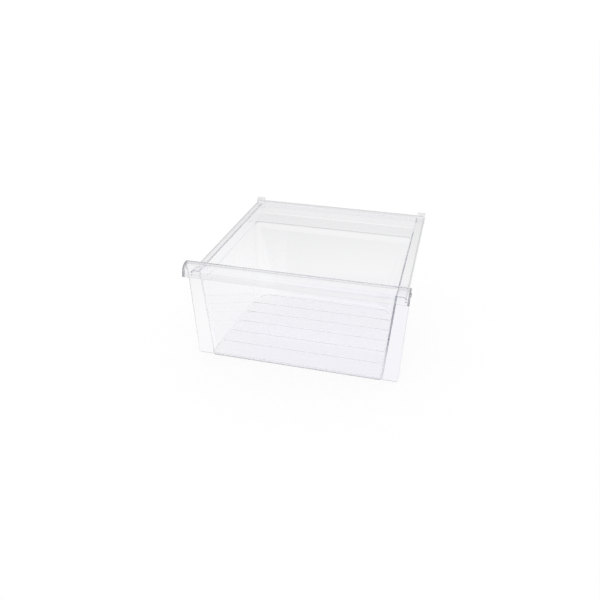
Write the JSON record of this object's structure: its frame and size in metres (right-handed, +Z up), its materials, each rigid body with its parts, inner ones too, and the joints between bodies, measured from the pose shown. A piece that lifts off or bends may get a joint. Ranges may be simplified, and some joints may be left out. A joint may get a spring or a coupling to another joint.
{
  "type": "refrigerator meat drawer",
  "caption": "Clear moulded fridge drawer: a drafted basin with a grooved floor and a raised rear ledge, side rails, back stops, and a wide flat front panel with a hooked finger lip.",
  "frame": {"origin": "centre of the bounding box's bottom face, on the surface that the drawer's floor rests on", "axes": "+X across the drawer to the right as seen from its front, +Y from the front panel to the back, +Z up"},
  "size_m": [0.4032, 0.406, 0.1975],
  "materials": {
    "clear_plastic": "gloss"
  },
  "bodies": {
    "root": {"drawer": "clear_plastic"}
  },
  "joints": []
}
